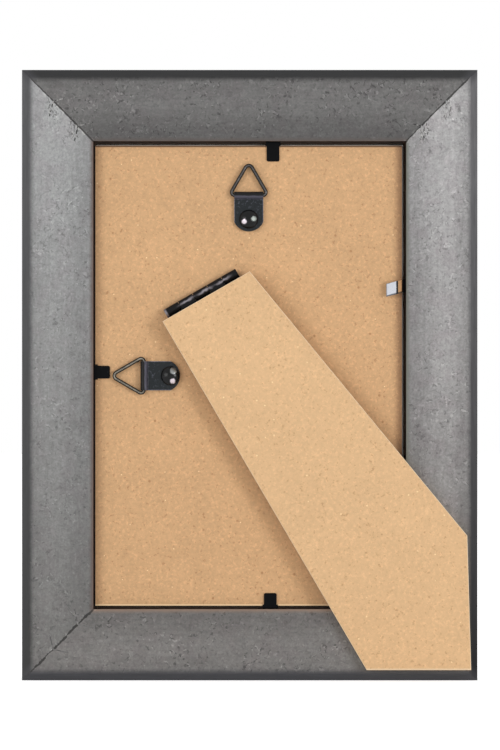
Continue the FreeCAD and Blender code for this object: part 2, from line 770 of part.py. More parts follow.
def build():
    """Make every sub-part."""
    fill_sheet()
    nails = []
    for side in (-1, 1):
        for top in (False, True):
            for apex in ("outer_nail_inset", "inner_nail_inset"):
                name = "nail_%d" % len(nails)
                nails.append(corner_nail(name, side, top, apex))
    corner_v_nails = group("corner_v_nails", nails)

    places = {
        "top": ("top_point_length", "-top_point_aside", "opening_head", "0", "0"),
        "bottom": ("bottom_point_length", "-bottom_point_aside", "opening_foot", "180", "0"),
        "right": ("right_point_length", "opening_side", "frame_middle + right_point_above",
                  "90", "0"),
        "left": (None, "-1 * opening_side", "frame_middle + bent_point_above", "-90",
                 "bent_point_lift"),
    }
    roots = {}
    for where, (length, x, z, turn, lift) in places.items():
        roots[where] = buried_root("root_" + where, x, z, turn, lift)
    flexible_point_roots = group("flexible_point_roots", list(roots.values()))

    rails = {
        "top": ("frame_width", "0", "frame_height", "180"),
        "bottom": ("frame_width", "0", "0", "0"),
        "left": ("frame_height", "-1 * frame_width / 2", "frame_middle", "90"),
        "right": ("frame_height", "frame_width / 2", "frame_middle", "-90"),
    }
    for where, (length, x, z, turn) in rails.items():
        blank = rail_blank("blank_" + where, length)
        place(blank, x, "0", z, turn, behind=False)
        keep(subtract("rail_" + where, blank, nails + [roots[where]]), "rail_" + where)
    keep(corner_v_nails, "corner_v_nails")
    keep(flexible_point_roots, "flexible_point_roots")
    for where, (length, x, z, turn, lift) in places.items():
        label = "flexible_point_" + where
        if length:
            straight_blade(label, length, x, z, turn)
        else:
            bent_blade(label, x, z, turn)

    keep(sheet_in_rebate("glass_pane", "opening_width - 2 * glass_clearance",
                         "opening_height - 2 * glass_clearance", "glass_thickness",
                         "rebate_floor"), "glass_pane")
    keep(sheet_in_rebate("picture_insert", "picture_width", "picture_height",
                         "insert_thickness", "rebate_floor + glass_thickness"), "picture_insert")

    portrait_drop = "(strap_length - portrait_rivet_inset)"
    landscape_drop = "(strap_length - landscape_rivet_inset)"
    portrait_spot = ("portrait_hanger_aside", "portrait_hanger_z - " + portrait_drop)
    landscape_spot = ("landscape_hanger_x - " + landscape_drop, "landscape_hanger_z")
    leaf_spots = [hinge_spot(sign + "leaf_rivet_offset", "leaf_rivet_drop") for sign in ("-", "")]
    drills = [rivet_hole("portrait", "rivet", *portrait_spot),
              rivet_hole("landscape", "rivet", *landscape_spot)]
    drills += [rivet_hole("leaf_%d" % i, "small_rivet", *spot)
               for i, spot in enumerate(leaf_spots)]
    blank = sheet_in_rebate("board_blank", "board_width", "board_height", "board_thickness",
                            "board_inner_face", x="(board_left_gap - board_right_gap) / 2",
                            z="opening_foot + board_foot_gap")
    keep(subtract("backing_board", blank, drills), "backing_board")

    hangers = {
        "portrait": (portrait_drop, "portrait_hanger_aside", "portrait_hanger_z", "0",
                     portrait_spot),
        "landscape": (landscape_drop, "landscape_hanger_x", "landscape_hanger_z", "90",
                      landscape_spot),
    }
    for way, (drop, x, z, turn, spot) in hangers.items():
        hanger_strap(way + "_hanger_strap", drop, x, z, turn)
        hanger_ring(way + "_hanger_ring", x, z, turn)
        label = way + "_hanger_rivet"
        keep(rivet(label, "rivet", "strap_stack", *spot), label)

    hinge_leaf("hinge_board_leaf", on_leg=False)
    leaf = hinge_leaf("hinge_leg_leaf", on_leg=True)
    pin_of_hinge("hinge_pin")
    leaf_rivets = [rivet("leaf_rivet_%d" % i, "small_rivet", "leaf_sheet", *spot)
                   for i, spot in enumerate(leaf_spots)]
    keep(group("hinge_board_rivets", leaf_rivets), "hinge_board_rivets")
    keep(subtract("easel_leg", leg_blank("leg_blank"), [leaf]), "easel_leg")


def check():
    """Stop if an object failed, or if a sub-part has no good solid."""
    document.recompute()
    for item in document.Objects:
        if "Invalid" in item.State or "Error" in item.State:
            raise RuntimeError("%s: %s" % (item.Name, item.State))
    for item in nodes:
        if item.Shape.isNull() or not item.Shape.isValid() or not item.Shape.Solids:
            raise RuntimeError(item.Label + " has no good solid")


def write():
    """Write one file for each sub-part."""
    os.makedirs("parts", exist_ok=True)
    for item in nodes:
        item.Shape.exportStep(os.path.join("parts", item.Label + ".step"))
        print("%-26s %d solids %10.2f mm3" % (item.Label, len(item.Shape.Solids), item.Shape.Volume))


build()
check()
write()
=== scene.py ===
import logging
import math
from dataclasses import dataclass
from enum import Enum
from typing import Optional, Sequence, Union

import bpy
import numpy as np
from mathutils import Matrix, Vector


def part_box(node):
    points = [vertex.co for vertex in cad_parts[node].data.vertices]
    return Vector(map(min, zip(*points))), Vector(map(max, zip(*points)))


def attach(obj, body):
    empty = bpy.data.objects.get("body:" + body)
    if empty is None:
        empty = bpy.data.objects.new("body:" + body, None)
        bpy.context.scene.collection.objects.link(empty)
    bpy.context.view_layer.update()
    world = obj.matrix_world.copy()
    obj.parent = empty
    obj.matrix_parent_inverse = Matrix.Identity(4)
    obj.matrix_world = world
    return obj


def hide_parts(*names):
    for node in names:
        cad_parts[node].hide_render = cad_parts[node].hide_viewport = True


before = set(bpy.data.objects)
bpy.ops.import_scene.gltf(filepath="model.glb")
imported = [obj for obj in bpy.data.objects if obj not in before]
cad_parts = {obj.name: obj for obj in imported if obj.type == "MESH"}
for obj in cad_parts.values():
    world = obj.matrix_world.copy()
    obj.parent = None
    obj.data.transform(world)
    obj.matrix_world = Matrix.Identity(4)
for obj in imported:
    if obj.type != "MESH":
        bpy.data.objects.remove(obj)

Rgb = tuple[float, float, float]
Point = tuple[float, float, float]
Spot = tuple[float, float, float, Rgb]
Socket = bpy.types.NodeSocket
Level = Union[float, "Reading"]

MM = 0.001
HALF_WIDTH = 75.2
HEIGHT = 201.6
FINE_RELIEF = 0.00002
FAR_OFF: Point = (61.0, 17.0, 29.0)
LOG = logging.getLogger("photo_frame")


def paint(red: int, green: int, blue: int) -> Rgb:
    """Turn a display colour into a linear one.

    Each part over 255 is divided by 12.92 where it is small. Elsewhere it is the 2.4th
    power of the sum of it and 0.055, over 1.055.

    Args:
        red: the red part, 0 to 255.
        green: the green part.
        blue: the blue part.

    Returns:
        The linear colour.
    """
    return tuple(
        c / 12.92 if c <= 0.04045 else ((c + 0.055) / 1.055) ** 2.4
        for c in (red / 255, green / 255, blue / 255)
    )


class Way(Enum):
    """The way up that a hanger serves."""

    PORTRAIT = "portrait"
    LANDSCAPE = "landscape"


class Rail(Enum):
    """The four rails of the frame."""

    TOP = "rail_top"
    BOTTOM = "rail_bottom"
    LEFT = "rail_left"
    RIGHT = "rail_right"


class Reading:
    """A number, place or colour in a node tree, to be reckoned with as a number is."""

    def __init__(self, shading: "Shading", socket: Socket) -> None:
        """Hold a socket and the tree that it stands in."""
        self.shading = shading
        self.socket = socket

    def __add__(self, other: Level) -> "Reading":
        """The sum."""
        return self.shading.calc("ADD", self, other)

    def __sub__(self, other: Level) -> "Reading":
        """The difference."""
        return self.shading.calc("SUBTRACT", self, other)

    def __rsub__(self, other: float) -> "Reading":
        """A number less this."""
        return self.shading.calc("SUBTRACT", other, self)

    def __mul__(self, other: Level) -> "Reading":
        """The product."""
        return self.shading.calc("MULTIPLY", self, other)

    def __truediv__(self, other: Level) -> "Reading":
        """The ratio."""
        return self.shading.calc("DIVIDE", self, other)

    def __abs__(self) -> "Reading":
        """The size, whatever the sign."""
        return self.shading.calc("ABSOLUTE", self)

    def most(self, other: Level) -> "Reading":
        """The larger of the two."""
        return self.shading.calc("MAXIMUM", self, other)

    def least(self, other: Level) -> "Reading":
        """The smaller of the two."""
        return self.shading.calc("MINIMUM", self, other)

    def scaled(self, factor: Level, offset: Level) -> "Reading":
        """This times the factor, plus the offset."""
        return self.shading.calc("MULTIPLY_ADD", self, factor, offset)

    def sharp(self, factor: float) -> "Reading":
        """This times the factor, held between 0 and 1."""
        return self.shading.calc("MULTIPLY", self, factor, clamp=True)

    def faded(self, reach: Level) -> "Reading":
        """1 where this is 0, falling to 0 at the reach."""
        return self.shading.calc("SUBTRACT", 1.0, self / reach, clamp=True)

    def around(self, depth: float) -> "Reading":
        """A factor about 1 from a value about a half: 1 plus depth times the difference."""
        return (self - 0.5).scaled(depth, 1.0)

    def step(self, low: float, high: float, start: float = 0.0, end: float = 1.0) -> "Reading":
        """A smooth change, 3 less 2 times the share, times the share squared.

        Args:
            low: where the change starts.
            high: where it ends.
            start: the result at and below low.
            end: the result at and above high.

        Returns:
            The result.
        """
        return self.shading.take(
            "ShaderNodeMapRange", {"Value": self, "From Min": low, "From Max": high,
                                   "To Min": start, "To Max": end},
            "Result", interpolation_type="SMOOTHSTEP")

    def drop(self, low: float, high: float, start: float = 1.0) -> "Reading":
        """A smooth fall from start to 0 while this goes from low to high."""
        return self.step(low, high, start, 0.0)

    def noise(self, scale: Level, detail: float = 4.0, roughness: float = 0.55,
              distortion: float = 0.0) -> "Reading":
        """Cloudy noise over this place, about a half on average.

        Args:
            scale: how many clouds there are to the millimetre.
            detail: how many finer layers lie on the clouds.
            roughness: how strong each finer layer is.
            distortion: how far the clouds are bent.

        Returns:
            The noise.
        """
        return self.shading.take(
            "ShaderNodeTexNoise", {"Vector": self, "Scale": scale, "Detail": detail,
                                   "Roughness": roughness, "Distortion": distortion}, "Fac")

    def stretch(self, scale: Point = (1.0, 1.0, 1.0), turn: float = 0.0,
                shift: Point = (0.0, 0.0, 0.0)) -> "Reading":
        """Turn this place about the frame's depth, then scale and shift it.

        Args:
            scale: the factor along each axis.
            turn: the angle.
            shift: what is added at the end.

        Returns:
            The new place.
        """
        turned = self.shading.take("ShaderNodeVectorRotate", {"Vector": self, "Angle": turn},
                                   rotation_type="Y_AXIS")
        return self.shading.take("ShaderNodeVectorMath", {0: turned, 1: scale, 2: shift},
                                 operation="MULTIPLY_ADD")

    def axes(self) -> list["Reading"]:
        """Take this place apart.

        Returns:
            Its x, y and z.
        """
        made = self.shading.node("ShaderNodeSeparateXYZ")
        self.shading.feed(made.inputs[0], self)
        return [Reading(self.shading, part) for part in made.outputs]


class Shading:
    """The node tree of a material, a group or the world, and short ways to add to it."""

    def __init__(self, tree: bpy.types.NodeTree) -> None:
        """Work on one tree."""
        self.tree = tree

    def node(self, kind: str, **settings: object) -> bpy.types.Node:
        """Add a node.

        Args:
            kind: its type.
            settings: its properties.

        Returns:
            The node.
        """
        made = self.tree.nodes.new(kind)
        for name, setting in settings.items():
            setattr(made, name, setting)
        return made

    def feed(self, socket: Socket, source: object) -> None:
        """Join a socket to its source, or set its own value.

        Args:
            socket: the socket.
            source: a reading, another socket, a colour, a place or a number.
        """
        source = getattr(source, "socket", source)
        if isinstance(source, bpy.types.NodeSocket):
            self.tree.links.new(source, socket)
        elif isinstance(source, tuple) and socket.type == "RGBA":
            socket.default_value = (*source, 1.0)
        else:
            socket.default_value = source

    def take(self, kind: str, sources: dict[Union[int, str], object],
             output: Union[int, str] = 0, **settings: object) -> Reading:
        """Add a node and feed it.

        Args:
            kind: its type.
            sources: what feeds its inputs, by their number or name.
            output: the number or name of the output to take.
            settings: its properties.

        Returns:
            The output.
        """
        made = self.node(kind, **settings)
        for key, source in sources.items():
            self.feed(made.inputs[key], source)
        return Reading(self, made.outputs[output])

    def calc(self, operation: str, *sources: object, clamp: bool = False) -> Reading:
        """The result of one arithmetic step."""
        return self.take("ShaderNodeMath", dict(enumerate(sources)), operation=operation,
                         use_clamp=clamp)

    def mix(self, share: Level, first: object, second: object, blend: str = "MIX") -> Reading:
        """A blend of two colours, the second at the given share."""
        return self.take("ShaderNodeMix", {0: share, 6: first, 7: second}, 2,
                         data_type="RGBA", blend_type=blend)

    def between(self, share: Level, first: Level, second: Level) -> Reading:
        """A blend of two values, the second at the given share."""
        return self.take("ShaderNodeMix", {0: share, 2: first, 3: second}, data_type="FLOAT")

    def tint(self, colour: object, amount: Level) -> Reading:
        """A colour made lighter or darker by a factor."""
        return self.take("ShaderNodeVectorMath", {0: colour, "Scale": amount},
                         operation="SCALE")

    def through(self, tree: bpy.types.NodeTree, place: Reading,
                **sources: Level) -> dict[str, Reading]:
        """Place a shared group.

        Args:
            tree: the group.
            place: the point that it reads.
            sources: its other inputs. Those left out keep their usual values.

        Returns:
            Its outputs by name.
        """
        made = self.node("ShaderNodeGroup", node_tree=tree)
        for name, source in {"Vector": place, **sources}.items():
            self.feed(made.inputs[name], source)
        return {part.name: Reading(self, part) for part in made.outputs}


class SharedGroups:
    """The node groups that several materials use, each built once."""

    def __init__(self) -> None:
        """Build every group."""
        self.fibre = self.pressed_fibre()
        self.speck_tree = self.scattered_specks()
        self.hair_tree = self.scattered_hairs()
        self.rub_tree = self.rubbed_patches()
        self.frame_place = self.place_on_frame()

    @staticmethod
    def start(name: str, **usual: float) -> list[Reading]:
        """Make an empty group.

        Args:
            name: the group's name.
            usual: name and usual value of each input after the place, with _ for a space.

        Returns:
            The place and the other inputs in order.
        """
        tree = bpy.data.node_groups.new(name, "ShaderNodeTree")
        tree.interface.new_socket(name="Vector", in_out="INPUT",
                                  socket_type="NodeSocketVector")
        for label, amount in usual.items():
            tree.interface.new_socket(
                name=label.replace("_", " "), in_out="INPUT",
                socket_type="NodeSocketFloat").default_value = amount
        shading = Shading(tree)
        return [Reading(shading, end) for end in shading.node("NodeGroupInput").outputs[:-1]]

    @staticmethod
    def end(shading: Shading, **results: Reading) -> bpy.types.NodeTree:
        """Finish a group.

        Args:
            shading: the group's tree.
            results: what it puts out, by name.

        Returns:
            The tree.
        """
        for label in results:
            shading.tree.interface.new_socket(name=label, in_out="OUTPUT",
                                              socket_type="NodeSocketFloat")
        ends = shading.node("NodeGroupOutput").inputs
        for label, result in results.items():
            shading.feed(ends[label], result)
        return shading.tree

    def pressed_fibre(self) -> bpy.types.NodeTree:
        """The look of pressed wood fibre: clouds, fine clumps, pale and dark fibres and bits.

        Shade is one plus the contrast times the sum of the clouds, clumps, patches and pale
        fibres, each at its own depth. Bits and Motes mask the dark and the pale marks.

        Returns:
            The group.
        """
        place, contrast = self.start("pressed_fibre", Contrast=1.0)
        moved = place.stretch(turn=0.9, shift=(23.0, 0.0, 41.0))
        clouds = place.noise(0.055, 3.0) - 0.5
        clumps = place.noise(0.95, 4.0, 0.75, 0.5) - 0.5
        patches = moved.noise(0.32, 3.0, 0.6, 0.8) - 0.5
        pale = self.hair_mask(place, 0.62, width=0.13, start=0.54)
        dark = self.hair_mask(moved, 0.62, width=0.11, start=0.604)
        bits = self.speck_mask(moved, 3.6, radius=0.44, share=0.12)
        motes = self.speck_mask(place, 2.8, radius=0.44, share=0.26)
        total = clouds * 0.20
        for depth, part in ((0.52, clumps), (0.22, patches), (0.18, pale)):
            total = part.scaled(depth, total)
        return self.end(place.shading, Shade=total.scaled(contrast, 1.0),
                        Height=pale.scaled(0.4, clumps), Bits=bits.most(dark) * contrast,
                        Motes=motes * contrast)

    @staticmethod
    def hair_mask(place: Reading, scale: Level, width: Level, start: Level,
                  level: Level = 0.5) -> Reading:
        """Thin bent lines where a noise passes a level, kept where another is high.

        Args:
            place: the point.
            scale: how many clouds the noise has to the millimetre.
            width: the lines' width as a change of the noise.
            start: the least that the other noise has there.
            level: the level that the noise passes.

        Returns:
            1 on a line and 0 beside it.
        """
        line = abs(place.noise(scale, 1.5, 0.5, 0.7) - level).faded(width)
        other = place.stretch(shift=FAR_OFF)
        return line * (other.noise(scale * 1.6, 2.0) - start).sharp(16.0)

    def scattered_hairs(self) -> bpy.types.NodeTree:
        """Short bent scratches and hairs of the given width.

        Returns:
            The group.
        """
        place, *given = self.start("scattered_hairs", Scale=0.5, Width=0.05, Start=0.55,
                                   Level=0.5)
        return self.end(place.shading, Mask=self.hair_mask(place, *given))

    def hairs(self, place: Reading, scale: float, width: float, start: float,
              level: float = 0.5) -> Reading:
        """The hairs' group placed on a finish."""
        return place.shading.through(self.hair_tree, place, Scale=scale, Width=width,
                                     Start=start, Level=level)["Mask"]

    @staticmethod
    def speck_mask(place: Reading, cell: Level, radius: Level, share: Level) -> Reading:
        """Round specks in a share of the cells, 0.4 to 1.3 times the radius.

        Args:
            place: the point.
            cell: the cells' size.
            radius: the specks' usual radius.
            share: how many of the cells hold a speck.

        Returns:
            1 on a speck, falling smoothly to 0 at its rim.
        """
        shading = place.shading
        cells = shading.node("ShaderNodeTexVoronoi")
        shading.feed(cells.inputs["Vector"], place)
        shading.feed(cells.inputs["Scale"], shading.calc("DIVIDE", 1.0, cell))
        chosen, size, _ = Reading(shading, cells.outputs["Color"]).axes()
        away = Reading(shading, cells.outputs["Distance"]) * cell
        near = away.faded(size.scaled(0.9, 0.4) * radius)
        return near.step(0.0, 0.5) * shading.calc("LESS_THAN", chosen, share)

    def scattered_specks(self) -> bpy.types.NodeTree:
        """Small round specks, one at most in each cell of the given size."""
        place, *given = self.start("scattered_specks", Cell=1.5, Radius=0.2, Share=0.3)
        return self.end(place.shading, Mask=self.speck_mask(place, *given))

    def specks(self, place: Reading, cell: float, radius: float, share: float) -> Reading:
        """The specks' group placed on a finish."""
        return place.shading.through(self.speck_tree, place, Cell=cell, Radius=radius,
                                     Share=share)["Mask"]

    def rubbed_patches(self) -> bpy.types.NodeTree:
        """Patches where a lacquer is rubbed thin, ragged at their edges.

        Returns:
            The group.
        """
        place, scale, start = self.start("rubbed_patches", Scale=0.5, Start=0.6)
        return self.end(place.shading, Mask=(
            place.noise(scale, 5.0, 0.6, 0.4) - start).sharp(9.0))

    def place_on_frame(self) -> bpy.types.NodeTree:
        """Where a point lies on the mitred frame.

        Edge is the distance from the outer edge, the smaller of that to the side and that
        to the top or foot. Mitre is the distance from the nearest mitre, the difference of
        the two over the square root of two.

        Returns:
            The group.
        """
        place, half_width, height = self.start("place_on_frame", Half_Width=HALF_WIDTH,
                                               Height=HEIGHT)
        x, _, z = place.axes()
        side = half_width - abs(x)
        end = z.least(height - z)
        return self.end(place.shading, Edge=side.least(end),
                        Mitre=abs(side - end) / math.sqrt(2))


def emptied(owner: Union[bpy.types.Material, bpy.types.World]) -> bpy.types.NodeTree:
    """Clear the nodes of a new material or world.

    Args:
        owner: the material or world.

    Returns:
        Its tree, with no nodes.
    """
    owner.use_nodes = True
    owner.node_tree.nodes.clear()
    return owner.node_tree


class Coat(Shading):
    """A material's tree, with a Principled shader at its end."""

    def __init__(self, name: str, **plain: float) -> None:
        """Start a material.

        Args:
            name: the material's name.
            plain: values of the shader's own sockets, with _ for a space.
        """
        self.material = bpy.data.materials.new(name)
        super().__init__(emptied(self.material))
        self.shader = self.node("ShaderNodeBsdfPrincipled")
        output = self.node("ShaderNodeOutputMaterial")
        self.feed(output.inputs["Surface"], self.shader.outputs["BSDF"])
        for label, amount in plain.items():
            self.shader.inputs[label.replace("_", " ")].default_value = amount
        self.coordinates = self.node("ShaderNodeTexCoord").outputs
        self.place = self.tint(self.coordinates["Object"], 1 / MM)

    def out_of_back(self) -> Reading:
        """How squarely the piece's surface faces out of the frame's back, in its own axes."""
        return Reading(self, self.coordinates["Normal"]).axes()[1]

    def lay(self, relief: Optional[Reading] = None, depth: float = FINE_RELIEF,
            **sources: object) -> bpy.types.Material:
        """Feed the shader.

        Args:
            relief: a height whose unit is the depth, for the shader's normal.
            depth: that unit in metres.
            sources: what feeds its other sockets, with _ for a space.

        Returns:
            The material.
        """
        if relief is not None:
            sources["Normal"] = self.take(
                "ShaderNodeBump", {"Height": relief, "Strength": 1.0, "Distance": depth},
                "Normal")
        for label, source in sources.items():
            self.feed(self.shader.inputs[label.replace("_", " ")], source)
        return self.material


@dataclass(frozen=True)
class Finish:
    """What all finishes share."""

    groups: SharedGroups


@dataclass(frozen=True)
class RailPaint(Finish):
    """The sprayed back and painted edge of one rail."""

    name: str
    # back and band are the colours at the frame's head, far_back and far_band at its foot;
    # their change from rail to rail and from head to foot is painted sheen, and the darkest
    # band foot is painted shade from the leg.
    back: Rgb
    far_back: Rgb
    band: Rgb
    far_band: Rgb
    raw_edge_and_shade: Rgb
    thin: float
    outer: float
    along: Point
    seed: float
    chips: float
    gloss: float
    wear: float
    bevel: float
    front: Rgb = paint(38, 38, 40)
    corner: Rgb = paint(60, 60, 64)
    mauve: Rgb = (0.90, 0.82, 0.86)
    wall: Rgb = paint(78, 58, 44)
    dark: Rgb = paint(26, 23, 22)
    pale: Rgb = paint(214, 212, 208)
    back_face: float = 6.4
    rebate_floor: float = -1.9
    rail_width: float = 23.6
    nails: tuple[float, float] = (10.2, 17.4)
    relief: float = 0.00006

    def make(self) -> bpy.types.Material:
        """Build the material.

        The colour follows the place on the frame: the painted band outside the bevel, a
        soft overspray, the grey back with streaks along the rail, specks and hairs, lighter
        along the rail's middle and darker beside the opening and towards the outer edge, the
        bare wood edge at the opening with painted shade, the gouges by the nails and the dark
        joint at the mitre. The change of the back and the band from head to foot is painted
        sheen, and on one rail also painted shade from the leg.

        Returns:
            The material.
        """
        coat = Coat(self.name, Specular_IOR_Level=self.gloss)
        specks, hairs = self.groups.specks, self.groups.hairs
        _, y, z = coat.place.axes()
        spots = coat.through(self.groups.frame_place, coat.place)
        edge, mitre = spots["Edge"], spots["Mitre"]
        moved = coat.place.stretch(shift=(self.seed, 0.0, 2 * self.seed))
        turned = moved.stretch(turn=0.7)

        streaks = moved.stretch(self.along).noise(1.0, 5.0, 0.7)
        grit = moved.noise(1.6, 3.0, 0.75)
        weave = turned.noise(0.55, 4.0, 0.66, 1.1)
        clouds = moved.noise(0.06, 2.0, 0.5)
        shade = (streaks.around(0.55) * grit.around(0.70) * weave.around(0.85)
                 * clouds.around(0.22))
        # The back's fall from head to foot is painted sheen of the side lamps.
        rise = z / HEIGHT
        grey = coat.tint(coat.mix(rise, self.far_back, self.back), shade)
        clusters = turned.noise(0.10, 2.0).step(0.42, 0.58, 0.35, 1.0)
        dots = specks(moved, cell=1.7, radius=0.32, share=0.11)
        pits = specks(turned, cell=1.7, radius=0.34, share=0.10)
        scuffs = hairs(turned, 0.50, width=0.11, start=0.53, level=0.61)
        nicks = hairs(turned, 0.50, width=0.10, start=0.53)
        light = dots.most(scuffs) * clusters
        shadow = pits.most(nicks) * clusters
        marks = shadow.scaled(-0.6 * self.wear, light.scaled(0.6 * self.wear, 1.0))
        grey = coat.tint(grey, marks)
        tinted = turned.noise(0.16, 2.0).step(0.45, 0.62, 0.0, 0.3)
        grey = coat.mix(tinted, grey, self.mauve, "MULTIPLY")

        inwards = self.rail_width - edge
        grey = coat.tint(grey, inwards.step(1.5, 12.5, self.thin, 1.08)
                         * edge.step(4.0, 9.0, self.outer))
        # The bare wood strip at the opening, its colour darkened as painted shade at the
        # opening's edge.
        ragged = moved.noise(0.5, 3.0) - 0.5
        grey = coat.mix(ragged.scaled(0.6, inwards).drop(-0.1, 1.7), grey, self.raw_edge_and_shade)

        spray = ragged.scaled(0.5, edge).step(self.bevel - 0.2, self.bevel + 2.2)
        on_back = y.step(self.back_face - 0.25, self.back_face - 0.02)
        sprayed = spray * on_back
        # The band's fall from head to foot is painted sheen, and on the left rail also painted
        # shade from the leg.
        outside = coat.tint(coat.mix(rise, self.far_band, self.band), streaks.around(1.0))
        outside = coat.mix(mitre.drop(0.2, 3.0, 0.7), outside, self.corner)
        painted = dots.scaled(0.5, streaks.around(0.5) * weave.around(0.5))
        outside = coat.mix(y.drop(3.4, 4.6), outside, coat.tint(self.front, painted))
        colour = coat.mix(sprayed, outside, grey)

        chips = (mitre.drop(0.3, 1.1) * moved.noise(0.45, 3.0).step(0.55, 0.60)
                 * edge.step(6.0, 8.0, 0.0, self.chips) * on_back)
        colour = coat.mix(chips, colour, self.pale)
        outer, inner = (abs(edge - inset).drop(1.0, 2.2) for inset in self.nails)
        by_nail = (outer.most(inner) * mitre.drop(3.4, 5.2) * on_back
                   * rise.step(0.1, 0.8, 0.12, 1.0))
        long = moved.stretch((1.5, 1.0, 0.7))
        for level, amount, tone in ((0.5, 1.5, self.dark), (0.62, 0.9, self.pale)):
            gouges = hairs(long, 0.75, width=0.11, start=0.47, level=level) * by_nail
            colour = coat.mix(gouges * (amount * self.chips), colour, tone)
        width = moved.noise(0.25, 4.0, 0.7).scaled(
            coat.between(rise, 2.6, 1.0), coat.between(rise, -1.02, -0.26))
        joint = (mitre - width).drop(-0.08, 0.08) * edge.step(2.4, 3.4, 0.3, 0.85)
        colour = coat.mix(joint, colour, self.dark)
        inside = (edge.step(self.rail_width - 0.05, self.rail_width + 0.02)
                  * y.step(self.rebate_floor - 0.2, self.rebate_floor - 0.05))
        return coat.lay(grit * sprayed + streaks * 0.6, self.relief,
                        Base_Color=coat.mix(inside, colour, self.wall),
                        Roughness=coat.between(sprayed, 0.38, grit.scaled(0.25, 0.48)))


@dataclass(frozen=True)
class NailFinish(Finish):
    """Nails sprayed over with the rails' grey, bare and dark in places."""

    name: str = "nail_spray"
    side: Rgb = paint(160, 160, 160)
    low_side: Rgb = paint(114, 112, 111)
    end: Rgb = paint(108, 107, 106)
    gap: Rgb = paint(38, 36, 36)
    low_gap: Rgb = paint(92, 90, 90)
    scratch: Rgb = paint(166, 164, 162)

    def make(self) -> bpy.types.Material:
        """Build the material: the grey of the rail that the nail's wing lies in, with the
        rails' painted sheen, lighter on the uprights and falling towards the foot, broken by
        dark and pale scratches that fade towards the foot.

        Returns:
            The material.
        """
        coat = Coat(self.name, Specular_IOR_Level=0.3)
        x, _, z = coat.place.axes()
        upright = coat.calc("LESS_THAN", HALF_WIDTH - abs(x), z.least(HEIGHT - z))
        rise = z / HEIGHT
        # The greys follow the rails' painted sheen: lighter on the uprights, falling towards
        # the foot.
        colour = coat.mix(upright, self.end, coat.mix(rise, self.low_side, self.side))
        broken = coat.place.noise(0.8, 3.0, 0.6)
        opened = upright.scaled(0.06, broken - 0.02)
        colour = coat.mix(opened.step(0.48, 0.54), colour,
                          coat.mix(rise, self.low_gap, self.gap))
        pale = broken.drop(0.36, 0.42, 0.8) * rise.step(0.1, 0.9, 0.3)
        return coat.lay(Base_Color=coat.mix(pale, colour, self.scratch),
                        Roughness=broken.scaled(0.3, 0.45))


@dataclass(frozen=True)
class Fibreboard(Finish):
    """Pressed fibreboard with pale edges, partly their own colour and partly painted highlight.
    """

    name: str
    face: Rgb
    cut_edge_and_highlight: Rgb
    contrast: float
    seed: float
    flecks: float
    sides: tuple[float, float] = (-500.0, 500.0)
    rim: float = 0.96
    bit: Rgb = paint(150, 92, 46)
    mote: Rgb = paint(255, 226, 176)
    edge_shade: Rgb = paint(166, 126, 92)
    head: float = 500.0
    foot: float = -500.0
    shade: Rgb = paint(92, 66, 48)
    relief: float = 0.00005

    def make(self) -> bpy.types.Material:
        """Build the material.

        The face's colour is multiplied by the fibre's shade and strewn with flecks. Beside the
        given sides it is darkened with painted shade from the rails' walls. Above the foot it
        has a pale painted highlight of the edge, and below the head painted shade of the dark
        gap above the board. Where the surface turns away from the broad face it takes the paler
        colour of the board's edge, partly its own and partly painted highlight.

        Returns:
            The material.
        """
        coat = Coat(self.name, Specular_IOR_Level=0.25)
        x, _, z = coat.place.axes()
        moved = coat.place.stretch(shift=(self.seed, 0.0, self.seed))
        fibre = coat.through(self.groups.fibre, moved, Contrast=self.contrast)
        face = coat.tint(self.face, fibre["Shade"])
        strewn = self.groups.specks(moved, cell=9.0, radius=0.55, share=0.35)
        for mask, amount, tone in ((strewn, 0.6, self.bit), (fibre["Bits"], 1.0, self.bit),
                                   (fibre["Motes"], 2.0, self.mote)):
            face = coat.mix(mask * (amount * self.flecks), face, tone)
        # Painted shade beside the board's sides, where the rails' walls shade it.
        edge_shade = coat.tint(self.edge_shade, fibre["Shade"])
        for inwards, depth in ((x - self.sides[0], 0.9), (self.sides[1] - x, 0.35)):
            edge_shaded = (inwards + fibre["Height"]).drop(0.0, 3.8, depth)
            face = coat.mix(edge_shaded, face, edge_shade)
        # Painted highlight along the foot edge.
        face = coat.mix((z - self.foot).drop(0.3, 0.7, 0.85), face, self.cut_edge_and_highlight)
        # Painted shade below the head, standing for the dark gap above the board.
        face = coat.mix((self.head - z).drop(0.35, 0.75, 0.9), face, self.shade)
        # The pale edge colour: partly the board's own, partly painted highlight.
        cut_edge_and_highlight = coat.tint(self.cut_edge_and_highlight, moved.noise(2.2, 3.0, 0.7).around(0.25))
        flat = abs(coat.out_of_back()).step(self.rim - 0.2, self.rim)
        return coat.lay(fibre["Height"], self.relief, Base_Color=coat.mix(flat, cut_edge_and_highlight, face),
                        Roughness=fibre["Height"].scaled(0.2, 0.55))


